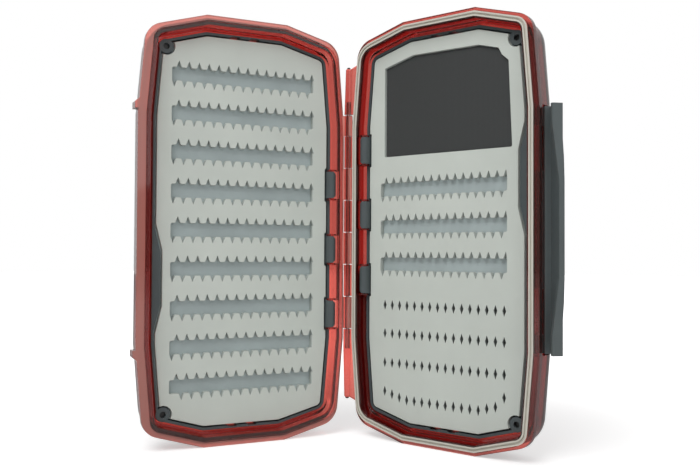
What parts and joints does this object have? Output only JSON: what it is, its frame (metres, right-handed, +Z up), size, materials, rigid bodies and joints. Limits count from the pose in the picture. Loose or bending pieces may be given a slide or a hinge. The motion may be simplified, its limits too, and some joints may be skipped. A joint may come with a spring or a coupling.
{
  "type": "fly box",
  "caption": "Two-sided fishing fly box with a hinged lid, side latch, swing leaves and slotted silicone mats, standing open on its end.",
  "frame": {"origin": "middle of the open box on the ground it stands on", "axes": "+Z up along the main hinge, +Y out of the back of the base tray, +X from the hinge towards the latch side of the base"},
  "size_m": [0.1636, 0.1092, 0.1906],
  "materials": {
    "shell": "clear burnt-orange polycarbonate, polished",
    "seal": "matt silicone",
    "mat": "matt silicone",
    "panel": "satin sheet",
    "frame": "fine moulded texture",
    "latch": "fine moulded texture",
    "pad": "fine ribbed magnetic rubber",
    "magnet": "black coated",
    "steel": "ground"
  },
  "bodies": {
    "base": {"base_shell": "shell", "seal": "seal", "hinge_pin": "steel", "latch_pin": "steel", "base_upper_keeper": "steel", "base_lower_keeper": "steel"},
    "lid": {"lid_shell": "shell", "lid_upper_keeper": "steel", "lid_lower_keeper": "steel"},
    "latch": {"latch": "latch"},
    "base_leaf": {"base_leaf_frame": "frame", "base_leaf_panel": "panel", "base_back_mat": "mat", "base_upper_magnet": "magnet", "base_lower_magnet": "magnet", "magnet_pad": "pad"},
    "base_mat": {"base_front_mat": "mat"},
    "lid_leaf": {"lid_leaf_frame": "frame", "lid_leaf_panel": "panel", "lid_back_mat": "mat", "lid_upper_magnet": "magnet", "lid_lower_magnet": "magnet"},
    "lid_mat": {"lid_front_mat": "mat"}
  },
  "joints": [
    {"name": "lid_hinge", "type": "hinge", "parent": "base", "child": "lid", "pos_m": [-0.02731, 0.03708, 0.0953], "axis": [0, 0, -1], "range_deg": [-114.5, 65.5]},
    {"name": "latch_hinge", "type": "hinge", "parent": "base", "child": "latch", "pos_m": [0.06989, 0.04368, 0.0953], "axis": [0, 0, 1], "range_deg": [-48, 44]},
    {"name": "base_leaf_hinge", "type": "hinge", "parent": "base", "child": "base_leaf", "pos_m": [-0.02001, 0.04038, 0.0953], "axis": [0, 0, -1], "range_deg": [0, 78]},
    {"name": "lid_leaf_hinge", "type": "hinge", "parent": "lid", "child": "lid_leaf", "pos_m": [-0.03334, 0.03181, 0.0953], "axis": [0, 0, 1], "range_deg": [0, 78]},
    {"name": "base_mat_lift", "type": "slide", "parent": "base_leaf", "child": "base_mat", "axis": [0, -1, 0], "range_m": [0, 0.0025]},
    {"name": "lid_mat_lift", "type": "slide", "parent": "lid_leaf", "child": "lid_mat", "axis": [0.91, -0.4147, 0], "range_m": [0, 0.0025]}
  ]
}
